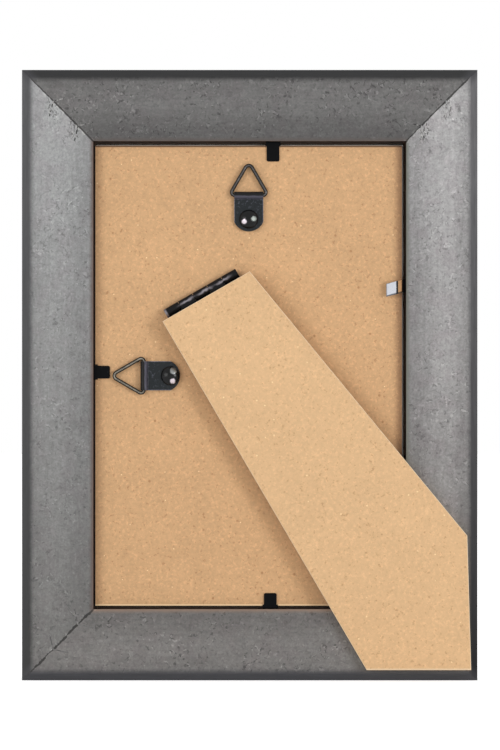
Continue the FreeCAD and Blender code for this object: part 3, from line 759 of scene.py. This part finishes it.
@dataclass(frozen=True)
class LacquerSteel(Finish):
    """Steel under a thin dark lacquer, rubbed through in places, with a painted highlight along
    a ring's crest.
    """

    name: str
    lacquer: Rgb
    bare: Rgb
    roughness: float
    start_rub: float
    scale: float
    seed: float = 0.0
    speck: float = 0.15
    gloss: float = 0.2
    crest: float = 0.0

    def make(self) -> bpy.types.Material:
        """Build the material: lacquer and bare metal, mixed by the rubbed patches and, on a
        round piece, by a painted highlight along the crest that faces out of the back.

        Returns:
            The material.
        """
        coat = Coat(self.name, Specular_IOR_Level=self.gloss)
        place = coat.place.stretch(shift=(self.seed, self.seed, 0.0))
        wear_and_highlight = coat.through(self.groups.rub_tree, place, Scale=self.scale,
                            Start=self.start_rub)["Mask"]
        wear_and_highlight = wear_and_highlight.most(self.groups.specks(place, 0.9, 0.22, self.speck) * 0.5)
        grain = place.noise(3.0, 4.0, 0.6)
        # On a ring the mix is kept to the crest that faces out of the back: a painted
        # highlight, broken by the grain and the rubbed patches.
        if self.crest:
            wear_and_highlight = coat.out_of_back().step(0.86, 0.99) * coat.between(
                self.crest, wear_and_highlight, grain.step(0.2, 0.6))
        colour = coat.mix(wear_and_highlight, coat.tint(self.lacquer, grain.around(0.5)), self.bare)
        return coat.lay(grain, Base_Color=colour, Metallic=wear_and_highlight * 0.85,
                        Roughness=grain.scaled(0.2, self.roughness - 0.1))


@dataclass(frozen=True)
class BarrelLacquer(Finish):
    """Black lacquer on the rolled hinge, with a soft painted highlight along the barrel's top.
    """

    name: str = "hinge_lacquer"
    centre: tuple[float, float] = (15.9, 127.8)
    tilt: float = math.radians(29.8)
    highlight_places: tuple[float, ...] = (5.5, -1.4, -8.2)
    cap: tuple[float, float] = (12.7, 13.2)
    black: Rgb = paint(15, 15, 17)
    shine: Rgb = paint(160, 154, 160)

    def make(self) -> bpy.types.Material:
        """Build the material.

        along is the place on the barrel's own length and aside the distance from its
        middle line. Each painted highlight is soft and ragged, and only a narrow strip about
        the line. The barrel's upper end is pale from the cap's first place to its second.

        Returns:
            The material.
        """
        coat = Coat(self.name, Specular_IOR_Level=0.14)
        x, y, z = coat.place.stretch(
            shift=(-self.centre[0], 0.0, -self.centre[1])).axes()
        cosine, sine = math.cos(self.tilt), math.sin(self.tilt)
        along = x * cosine - z * sine
        aside = x.scaled(sine, z * cosine)
        grain = coat.place.noise(2.4, 4.0, 0.65)
        ragged = grain.scaled(1.6, -0.8)
        off = abs(aside + coat.place.noise(0.5, 3.0).scaled(1.8, -1.1))
        # Painted highlight patches along the barrel's top.
        wear_and_highlight: Level = 0.0
        for middle in self.highlight_places:
            wear_and_highlight = (abs(along - middle) + ragged).drop(0.4, 4.2).most(wear_and_highlight)
        wear_and_highlight = wear_and_highlight * off.drop(0.0, 0.65) * y.step(4.8, 6.2)
        wear_and_highlight = wear_and_highlight.most(along.step(*self.cap, 0.0, 0.75))
        colour = coat.mix(wear_and_highlight * 0.8, coat.tint(self.black, grain.around(0.8)), self.shine)
        return coat.lay(grain, Base_Color=colour, Metallic=wear_and_highlight * 0.6,
                        Roughness=grain.scaled(0.2, 0.28))


@dataclass(frozen=True)
class BentPointFinish(Finish):
    """The bent point: bare galvanised metal on its free end, lightened as a painted reflection
    of the lamps, and black with a painted reflection of the tan board at its root.
    """

    name: str = "bent_point_finish"
    middle: tuple[float, float] = (-44.5, 128.8)
    slope: float = -0.279
    half_height: float = 2.05
    zinc_and_reflection: Rgb = paint(204, 207, 214)
    tan: Rgb = paint(196, 150, 104)
    black: Rgb = paint(17, 18, 20)

    def make(self) -> bpy.types.Material:
        """Build the material.

        The finish changes in bands along x. The middle line's height is the middle's plus
        the slope times the distance along x, and beyond the half height the rim is dark.

        Returns:
            The material.
        """
        coat = Coat(self.name, Specular_IOR_Level=0.3)
        x, _, z = coat.place.axes()
        grain = coat.place.noise(2.6, 4.0, 0.65)
        ragged = grain.scaled(0.5, -0.25)
        inwards = x + ragged
        off = abs(z - (x - self.middle[0]).scaled(self.slope, self.middle[1]))
        # free: the bare galvanised end, lightened as a painted reflection of the lamps; root: a
        # painted reflection of the tan board.
        free = inwards.step(-48.45, -48.25)
        root = inwards.step(-50.35, -50.1) * inwards.drop(-49.1, -48.9)
        colour = coat.tint(self.black, grain.around(0.8))
        for share, tone in ((root, self.tan), (free, self.zinc_and_reflection)):
            colour = coat.mix(share, colour, coat.tint(tone, grain.around(0.5)))
        rim = (off + ragged).step(self.half_height - 0.3, self.half_height - 0.05)
        rim = rim.most(inwards.step(-45.45, -45.2, 0.0, 0.7))
        return coat.lay(grain, Base_Color=coat.mix(rim * 0.8, colour, self.black),
                        Metallic=free * 0.25, Roughness=grain.scaled(0.2, 0.3))


@dataclass(frozen=True)
class StrapLacquer(Finish):
    """Satin blue-black lacquer on a folded strap, with a painted highlight below the roll and
    pale edges.
    """

    way: Way
    hook: Point
    lacquer: Rgb = paint(29, 33, 36)
    roll: Rgb = paint(20, 18, 19)
    band: Rgb = paint(84, 82, 94)
    edge: Rgb = paint(122, 126, 140)
    half_width: float = 4.8
    relief: float = 0.00004

    def make(self) -> bpy.types.Material:
        """Build the material.

        along is the distance from the hook's line towards the strap's round end, and aside
        that from its middle line. The roll is dark, the sheet just past it carries a painted
        highlight where the roll turns into it and is dented, and its edges are pale and partly
        metallic.

        Returns:
            The material.
        """
        coat = Coat(self.way.value + "_strap_lacquer", Specular_IOR_Level=0.2)
        x, _, z = coat.place.axes()
        right, below = x - self.hook[0], self.hook[2] - z
        upright = self.way is Way.PORTRAIT
        along, aside = (below, right) if upright else (right * -1.0, below)
        grain = coat.place.noise(2.2, 4.0, 0.65)
        marks = self.groups.hairs(coat.place, 0.7, width=0.06, start=0.52)
        past = along + coat.place.noise(0.6, 2.0).scaled(0.6, -0.3)
        # A painted highlight where the roll turns into the sheet.
        band = past.step(0.0, 0.3) * past.drop(0.9, 1.6)
        dented = marks * along.step(1.2, 5.0, 0.5, 0.14) * along.step(0.6, 1.4)
        rim = (abs(aside).step(self.half_width - 0.28, self.half_width - 0.04)
               * along.step(1.0, 1.6))
        colour = coat.tint(self.lacquer, grain.around(0.7))
        for share, tone in ((band * 0.8, self.band), (along.drop(0.0, 0.2), self.roll),
                            (dented, self.edge), (rim * grain.step(0.3, 0.6), self.edge)):
            colour = coat.mix(share, colour, tone)
        return coat.lay(marks.scaled(-1.0, grain), self.relief, Base_Color=colour,
                        Metallic=rim * 0.5, Roughness=grain.scaled(0.25, 0.32))


@dataclass(frozen=True)
class RivetLacquer(Finish):
    """Glossy black lacquer on a domed head, with two spots rubbed to bare metal."""

    name: str
    spots: tuple[Spot, ...]
    centre: Point
    black: Rgb = paint(14, 14, 15)
    relief: float = 0.000015

    def make(self) -> bpy.types.Material:
        """Build the material.

        A spot gives its place across and up from the rivet's centre, its radius and the
        metal's colour. It is where the distance from that place, the root of the sum of
        squares, is below the radius, and its edge is ragged.

        Returns:
            The material.
        """
        coat = Coat(self.name, Specular_IOR_Level=0.22)
        x, _, z = coat.place.axes()
        ragged = coat.place.noise(1.6, 3.0).scaled(0.7, -0.35)
        grain = coat.place.noise(5.0, 3.0, 0.7)
        colour = coat.tint(self.black, grain.around(0.6))
        bare: Level = 0.0
        for across, up, radius, metal in self.spots:
            aside, above = x - (self.centre[0] + across), z - (self.centre[2] + up)
            away = coat.calc("SQRT", aside * aside + above * above) + ragged
            mask = away.drop(radius - 0.25, radius + 0.2)
            colour = coat.mix(mask, colour, coat.tint(metal, grain.around(0.5)))
            bare = mask.most(bare)
        return coat.lay(grain, self.relief, Base_Color=colour, Metallic=bare,
                        Roughness=coat.between(bare, 0.16, 0.42))


@dataclass(frozen=True)
class PaneGlass(Finish):
    """Float glass with a faint green in its thickness."""

    name: str = "float_glass"
    clear: Rgb = (0.10, 0.14, 0.12)
    body: float = 0.14

    def make(self) -> bpy.types.Material:
        """Build the material. Body is how much of the light the clear pane keeps back, and
        a few faint specks of dust add to it.

        Returns:
            The material.
        """
        coat = Coat(self.name, IOR=1.5, Roughness=0.02, Specular_IOR_Level=1.0)
        dust = self.groups.specks(coat.place, cell=6.0, radius=0.2, share=0.3)
        return coat.lay(Base_Color=self.clear, Alpha=dust.scaled(0.2, self.body))


@dataclass(frozen=True)
class BlankSheet(Finish):
    """The plain sheet between glass and board."""

    name: str = "blank_sheet"
    white: Rgb = paint(236, 234, 228)

    def make(self) -> bpy.types.Material:
        """Build the material: off-white paper with a faint pulp.

        Returns:
            The material.
        """
        coat = Coat(self.name, Specular_IOR_Level=0.3, Roughness=0.7)
        pulp = coat.place.noise(1.2, 5.0, 0.7)
        return coat.lay(pulp, Base_Color=coat.tint(self.white, pulp.around(0.06)))


def show(name: str, data: bpy.types.ID) -> bpy.types.Object:
    """Put a mesh, a lamp or a camera into the scene.

    Args:
        name: the object's name.
        data: what it shows.

    Returns:
        The object, at the origin.
    """
    made = bpy.data.objects.new(name, data)
    bpy.context.scene.collection.objects.link(made)
    return made


def dress(node: str, material: bpy.types.Material) -> None:
    """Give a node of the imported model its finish.

    Args:
        node: the node's name.
        material: the finish for all its slots.
    """
    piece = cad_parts[node]
    if not piece.material_slots:
        piece.data.materials.append(material)
    for slot in piece.material_slots:
        slot.material = material


def corners_of(box: object) -> list[list[float]]:
    """A box's lowest and highest corner as plain lists of numbers."""
    return [[float(amount) for amount in corner] for corner in box]


def surface(name: str, grid: np.ndarray, ends: Sequence[Point],
            material: bpy.types.Material, smooth: bool = True) -> bpy.types.Object:
    """Make a piece from a grid of points that closes round its second direction.

    A face joins each point to the next along both directions. The rows at the two ends
    are closed by a fan to one point each.

    Args:
        name: the piece's name.
        grid: points by row, by place round the row, by axis.
        ends: the closing points before the first row and after the last.
        material: its finish.
        smooth: whether its faces are shaded as one smooth surface.

    Returns:
        The piece.
    """
    rows, around, _ = grid.shape
    index = np.arange(rows * around).reshape(rows, around)
    following = np.roll(index, -1, axis=1)
    quads = np.stack([index[:-1], following[:-1], following[1:], index[1:]], axis=-1)
    first, last = rows * around, rows * around + 1
    near = np.stack([following[0], index[0], np.full(around, first)], axis=-1)
    far = np.stack([index[-1], following[-1], np.full(around, last)], axis=-1)
    points = np.vstack([grid.reshape(-1, 3), np.asarray(ends, float)])
    mesh = bpy.data.meshes.new(name)
    mesh.from_pydata(points.tolist(), [], quads.reshape(-1, 4).tolist() + near.tolist()
                     + far.tolist())
    mesh.polygons.foreach_set("use_smooth", np.full(len(mesh.polygons), smooth))
    mesh.materials.append(material)
    mesh.update()
    return show(name, mesh)


@dataclass
class Rails:
    """The four mitred rails and the nails in their corners."""

    upright_along: Point = (0.9, 0.9, 0.10)
    level_along: Point = (0.10, 0.9, 0.9)
    seed_step: float = 13.0

    def build(self, groups: SharedGroups) -> None:
        """Dress the rails, each with its own shade of the sprayed grey, and the nails.

        A rail's look is how dark its grey is beside the opening, its back's colour at the
        frame's head and at its foot, its band's colour at both, and its bare wood edge. The
        upright rails' lighter greys and every rail's fall towards the foot are painted sheen of
        the side lamps. The left rail's band at the foot is painted shade from the leg, and the
        bare wood edges are darkened as painted shade.

        Args:
            groups: the shared node groups.
        """
        # Columns: rail, thin, back at the head and at the foot, band at the head and at the
        # foot, bare wood edge. The uprights' lighter greys and the fall towards the foot are
        # painted sheen; the left rail's band foot is painted shade from the leg; the edges hold
        # painted shade.
        looks = (
            (Rail.RIGHT, 0.85, (161, 162, 162), (108, 107, 105), (84, 84, 86), (34, 34, 34),
             (98, 82, 76)),
            (Rail.LEFT, 0.79, (177, 176, 176), (118, 115, 113), (108, 107, 109),
             (18, 18, 20), (112, 114, 106)),
            (Rail.TOP, 0.68, (105, 104, 103), (105, 104, 103), (28, 28, 29), (28, 28, 29),
             (88, 80, 76)),
            (Rail.BOTTOM, 0.80, (118, 116, 114), (118, 116, 114), (60, 60, 64),
             (60, 60, 64), (138, 118, 104)),
        )
        for number, (rail, thin, *shades) in enumerate(looks, start=1):
            back, far_back, band, far_band, raw_edge_and_shade = (paint(*shade) for shade in shades)
            upright, left = rail in (Rail.LEFT, Rail.RIGHT), rail is Rail.LEFT
            dress(rail.value, RailPaint(
                groups, "paint_of_" + rail.value, back, far_back, band, far_band, raw_edge_and_shade, thin,
                outer=0.80 if left else 0.92,
                along=self.upright_along if upright else self.level_along,
                seed=self.seed_step * number, chips=0.55 if upright else 0.1,
                gloss=0.12 if left else 0.35, wear=0.7 if upright else 1.0,
                bevel=1.8 if left else 2.3).make())
        dress("corner_v_nails", NailFinish(groups).make())
        LOG.info("rails and nails dressed")


@dataclass
class Filling:
    """Glass, blank sheet and fibreboard back."""

    arris: float = 0.3
    clearance: float = 0.04

    def pane(self, material: bpy.types.Material) -> bpy.types.Object:
        """Make the pane with ground edges, its back just clear of the sheet.

        Each ring of points is the pane's outline, drawn in by the arris on the two faces.

        Args:
            material: the glass.

        Returns:
            The piece.
        """
        low, high = (np.array(corner) / MM for corner in corners_of(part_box("glass_pane")))
        middle = (low + high) / 2
        half = (high - low) / 2
        back = high[1] - self.clearance
        signs = np.array([(-1.0, -1.0), (-1.0, 1.0), (1.0, 1.0), (1.0, -1.0)])
        rows = []
        for inset, depth in ((self.arris, low[1]), (0.0, low[1] + self.arris),
                             (0.0, back - self.arris), (self.arris, back)):
            corners = signs * (half[[0, 2]] - inset)
            rows.append(np.stack([corners[:, 0] + middle[0], np.full(4, depth),
                                  corners[:, 1] + middle[2]], axis=-1))
        ends = [np.array((middle[0], depth, middle[2])) * MM for depth in (low[1], back)]
        piece = surface("glass_pane_ground", np.array(rows) * MM, ends, material,
                        smooth=False)
        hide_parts("glass_pane")
        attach(piece, "frame")
        return piece

    def build(self, groups: SharedGroups) -> None:
        """Make the pane and dress what else the rebate holds.

        Args:
            groups: the shared node groups.
        """
        self.pane(PaneGlass(groups).make())
        dress("picture_insert", BlankSheet(groups).make())
        # head and foot place the painted shade under the board's top edge and the painted
        # highlight along its foot.
        dress("backing_board", Fibreboard(
            groups, "board_fibre", paint(210, 168, 124), paint(246, 212, 166),
            contrast=1.0, seed=17.0, flecks=0.50, sides=(-50.3, 51.0), head=176.7,
            foot=24.6).make())
        LOG.info("glass, sheet and board dressed")


@dataclass
class Points:
    """The four flexible points and their buried ends."""

    def build(self, groups: SharedGroups) -> None:
        """Dress the black points, and the bent one with its bare galvanised end and painted
        reflections.

        Args:
            groups: the shared node groups.
        """
        black = LacquerSteel(groups, "point_lacquer", paint(9, 10, 12), paint(70, 74, 80),
                             roughness=0.42, start_rub=0.68, scale=0.5, speck=0.05,
                             gloss=0.06).make()
        for part in ("top", "bottom", "right", "roots"):
            dress("flexible_point_" + part, black)
        dress("flexible_point_left", BentPointFinish(groups).make())
        LOG.info("flexible points dressed")


@dataclass
class TriangleHanger:
    """One strap, its triangle of wire and its domed rivet."""

    way: Way
    hook: Point
    rivet: Point
    spots: tuple[Spot, ...]
    wire: float = 0.6
    half_base: float = 6.4
    reach: float = 11.05
    base_bend: float = 1.0
    top_bend: float = 1.25
    joint: float = 0.1
    head: float = 3.1
    crown: float = 1.45
    rim: float = 0.35
    shank: float = 1.5
    shank_length: float = 4.1
    bend_points: int = 13
    wire_points: int = 24
    crown_rows: int = 16
    dome_points: int = 48

    def spin(self, across: np.ndarray, up: np.ndarray, out: np.ndarray,
             about: Point) -> np.ndarray:
        """Turn plan places into the frame's: upright as drawn, or a quarter turn.

        Args:
            across: places along the strap's width.
            up: places away from the strap, towards the ring's point.
            out: places out of the frame's back.
            about: the point that they are measured from.

        Returns:
            The points in metres.
        """
        if self.way is Way.LANDSCAPE:
            across, up = up, -across
        return np.stack([across + about[0], out + about[1], up + about[2]], axis=-1) * MM

    def triangle(self) -> np.ndarray:
        """The wire's middle line, from one end inside the roll round to the other.

        Straight runs between the corners, each corner replaced by the arc of its bend's
        radius that touches both runs.

        Returns:
            Places across and up, one row each.
        """
        corners = np.array([(self.joint, 0.0), (self.half_base, 0.0), (0.0, self.reach),
                            (-self.half_base, 0.0), (-self.joint, 0.0)])
        radii = (self.base_bend, self.top_bend, self.base_bend)
        share = np.linspace(0.0, 1.0, self.bend_points)[:, None]
        parts = [corners[:1]]
        for radius, before, corner, after in zip(radii, corners, corners[1:], corners[2:]):
            come = (before - corner) / np.linalg.norm(before - corner)
            go = (after - corner) / np.linalg.norm(after - corner)
            half = math.acos(float(np.dot(come, go))) / 2
            middle = (come + go) / np.linalg.norm(come + go) * (radius / math.sin(half))
            centre = corner + middle
            start = corner + come * radius / math.tan(half) - centre
            end = corner + go * radius / math.tan(half) - centre
            sweep = math.pi - 2 * half
            arc = np.sin((1 - share) * sweep) * start + np.sin(share * sweep) * end
            parts.append(centre + arc / math.sin(sweep))
        return np.vstack([*parts, corners[-1:]])

    def ring(self, material: bpy.types.Material) -> bpy.types.Object:
        """The wire: a circle carried along the triangle's line, square to it.

        Args:
            material: its finish.

        Returns:
            The piece.
        """
        line = self.triangle()
        ahead = np.gradient(line, axis=0)
        ahead /= np.linalg.norm(ahead, axis=1, keepdims=True)
        aside = np.stack([ahead[:, 1], -ahead[:, 0]], axis=1)
        turn = np.linspace(0.0, 2 * math.pi, self.wire_points, endpoint=False)
        reach = self.wire * np.cos(turn)
        across = line[:, :1] + aside[:, :1] * reach
        up = line[:, 1:] + aside[:, 1:] * reach
        out = np.broadcast_to(self.wire * np.sin(turn), across.shape)
        ends = self.spin(line[[0, -1], 0], line[[0, -1], 1], np.zeros(2), self.hook)
        return surface(self.way.value + "_ring_wire", self.spin(across, up, out, self.hook),
                       ends, material)

    def dome(self, material: bpy.types.Material) -> bpy.types.Object:
        """The rivet: a profile turned about its axis.

        The crown is a circle's arc from the middle to the rim, then come the rim, the
        underside and the shank.

        Args:
            material: its finish.

        Returns:
            The piece.
        """
        bow = (self.head ** 2 + self.crown ** 2) / (2 * self.crown)
        lean = np.linspace(0.04, 1.0, self.crown_rows) * math.asin(self.head / bow)
        arc = np.stack([bow * np.sin(lean), self.rim + self.crown - bow * (1 - np.cos(lean))],
                       axis=1)
        profile = np.vstack([arc, (self.head + 0.02, self.rim - 0.06), (self.head + 0.02, 0.08),
                             (self.head - 0.06, 0.0), (self.shank, 0.0),
                             (self.shank, -self.shank_length)])
        radius, height = profile[:, :1], profile[:, 1:]
        turn = np.linspace(0.0, 2 * math.pi, self.dome_points, endpoint=False)
        across = radius * np.cos(turn)
        out = np.broadcast_to(height, across.shape)
        tips = self.spin(np.zeros(2), np.zeros(2),
                         np.array([self.rim + self.crown, -self.shank_length]), self.rivet)
        return surface(self.way.value + "_rivet_dome",
                       self.spin(across, radius * np.sin(turn), out, self.rivet),
                       tips, material)

    def build(self, groups: SharedGroups, wire: bpy.types.Material) -> None:
        """Make the wire and the rivet, and dress the strap.

        Args:
            groups: the shared node groups.
            wire: the ring's finish.
        """
        strap = StrapLacquer(groups, self.way, self.hook)
        dress(self.way.value + "_hanger_strap", strap.make())
        ring = self.ring(wire)
        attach(ring, self.way.value + "_ring")
        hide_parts(self.way.value + "_hanger_ring")
        lacquer = RivetLacquer(groups, self.way.value + "_rivet_lacquer", self.spots,
                               self.rivet)
        dome = self.dome(lacquer.make())
        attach(dome, "frame")
        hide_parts(self.way.value + "_hanger_rivet")
        LOG.info("%s hanger made", self.way.value)


@dataclass
class LegAndHinge:
    """The leg, its rolled hinge and the hinge's rivets."""

    def build(self, groups: SharedGroups) -> None:
        """Dress the leg and the hinge.

        Args:
            groups: the shared node groups.
        """
        # foot places the painted highlight along the leg's foot, and rim makes the whole
        # rounded edge pale, partly painted highlight.
        dress("easel_leg", Fibreboard(
            groups, "leg_fibre", paint(223, 184, 139), paint(244, 218, 182), contrast=0.7,
            seed=53.0, flecks=0.58, rim=0.995, foot=3.7).make())
        steel = BarrelLacquer(groups).make()
        for node in ("hinge_board_leaf", "hinge_leg_leaf", "hinge_board_rivets"):
            dress(node, steel)
        dress("hinge_pin", LacquerSteel(
            groups, "pin_steel", paint(22, 22, 24), paint(110, 110, 112), roughness=0.35,
            start_rub=0.6, scale=0.5, gloss=0.15).make())
        LOG.info("leg and hinge dressed")


@dataclass
class Studio:
    """Floor, white surroundings, two soft boxes on each side of the frame and the camera.

    Lengths are in millimetres, but the farthest place seen and the floor's reach in metres.
    """

    scale: float = 0.3298
    image: tuple[int, int] = (500, 750)
    middle: Point = (-0.1, 6.4, 100.85)
    distance: float = 1400.0
    sensor: float = 36.0
    farthest: float = 20.0
    surround: float = 0.57
    floor_tone: Rgb = (0.86, 0.86, 0.86)
    floor_glow: float = 0.62
    floor_reach: float = 4.0
    boxes: tuple[tuple[Point, float, float], ...] = (
        ((-1100.0, 1150.0, 260.0), 540.0, 8.3),
        ((1100.0, 1150.0, 260.0), 900.0, 7.6),
        ((-1100.0, -1150.0, 420.0), 900.0, 7.0),
        ((1100.0, -1150.0, 420.0), 900.0, 4.0),
    )

    @staticmethod
    def seen(shading: Shading) -> Reading:
        """Tell the rays that see the background from those that only light the object.

        Args:
            shading: the tree to add to.

        Returns:
            1 for a ray from the camera, a mirror or glass, and 0 for the others.
        """
        path = shading.node("ShaderNodeLightPath").outputs
        return Reading(shading, path["Is Camera Ray"]).most(path["Is Glossy Ray"]).most(
            path["Is Transmission Ray"])

    def world(self) -> None:
        """White where it is seen, and a plain level of light elsewhere."""
        world = bpy.data.worlds.new("white_studio")
        shading = Shading(emptied(world))
        light = shading.take("ShaderNodeBackground", {
            "Color": (1.0, 1.0, 1.0),
            "Strength": shading.between(self.seen(shading), self.surround, 1.0)})
        shading.feed(shading.node("ShaderNodeOutputWorld").inputs["Surface"], light)
        bpy.context.scene.world = world

    def floor(self) -> None:
        """A wide pale floor that keeps the object's shadow."""
        material = bpy.data.materials.new("pale_floor")
        shading = Shading(emptied(material))
        matt = shading.take("ShaderNodeBsdfDiffuse", {"Color": self.floor_tone})
        glow = shading.take("ShaderNodeEmission", {
            "Strength": self.seen(shading) * self.floor_glow})
        both = shading.take("ShaderNodeAddShader", {0: matt, 1: glow})
        shading.feed(shading.node("ShaderNodeOutputMaterial").inputs["Surface"], both)
        corners = np.array([(-1, -1, 0), (1, -1, 0), (1, 1, 0), (-1, 1, 0)], float)
        mesh = bpy.data.meshes.new("floor")
        mesh.from_pydata((corners * self.floor_reach).tolist(), [], [(0, 1, 2, 3)])
        mesh.materials.append(material)
        floor = show("floor", mesh)

    def lamps(self) -> None:
        """Soft boxes aimed at the middle of the back."""
        aim = Vector(self.middle) * MM
        for number, (place, size, power) in enumerate(self.boxes):
            light = bpy.data.lights.new("soft_box_%d" % number, "AREA")
            light.shape = "SQUARE"
            light.size = size * MM
            light.energy = power
            lamp = show(light.name, light)
            lamp.location = Vector(place) * MM
            lamp.rotation_euler = (aim - lamp.location).to_track_quat("-Z", "Y").to_euler()

    def camera(self) -> None:
        """A long lens square to the back. Its focal length over the sensor's height is the
        distance over the height that the picture spans."""
        lens = bpy.data.cameras.new("camera")
        lens.sensor_width = self.sensor
        lens.lens = self.sensor * self.distance / (self.image[1] * self.scale)
        lens.clip_end = self.farthest
        camera = show("camera", lens)
        camera.location = (Vector(self.middle) + Vector((0.0, self.distance, 0.0))) * MM
        camera.rotation_euler = (math.pi / 2, 0.0, math.pi)
        bpy.context.scene.camera = camera

    def build(self) -> None:
        """Set up the picture."""
        bpy.context.scene.view_settings.view_transform = "Standard"
        self.world()
        self.floor()
        self.lamps()
        self.camera()
        LOG.info("studio ready")


def main() -> None:
    """Build every sub-assembly in order."""
    logging.basicConfig(level=logging.INFO, format="%(name)s: %(message)s")
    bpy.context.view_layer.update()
    groups = SharedGroups()
    for part in (Rails(), Filling(), Points()):
        part.build(groups)
    pink, green, grey = paint(206, 196, 203), paint(122, 127, 123), paint(140, 142, 142)
    portrait = TriangleHanger(Way.PORTRAIT, (0.3, 4.58, 160.2), (0.3, 4.5, 152.3),
                              ((1.55, -0.80, 0.80, pink), (-1.65, 0.10, 0.90, green)))
    landscape = TriangleHanger(Way.LANDSCAPE, (34.9, 4.58, 100.6), (26.2, 4.5, 100.6),
                               ((-1.0, 1.65, 1.10, grey), (-0.8, -1.72, 0.85, pink)))
    # The landscape ring's paler metal and larger crest share give it a brighter painted
    # highlight.
    for hanger, name, bare, crest in (
            (portrait, "wire_lacquer", paint(112, 108, 106), 0.6),
            (landscape, "worn_and_highlighted_wire_lacquer", paint(150, 144, 132), 0.75)):
        hanger.build(groups, LacquerSteel(
            groups, name, paint(24, 23, 22), bare, roughness=0.34, start_rub=0.52,
            scale=0.45, seed=9.0, gloss=0.15, crest=crest).make())
    LegAndHinge().build(groups)
    Studio().build()


if __name__ == "__main__":
    main()
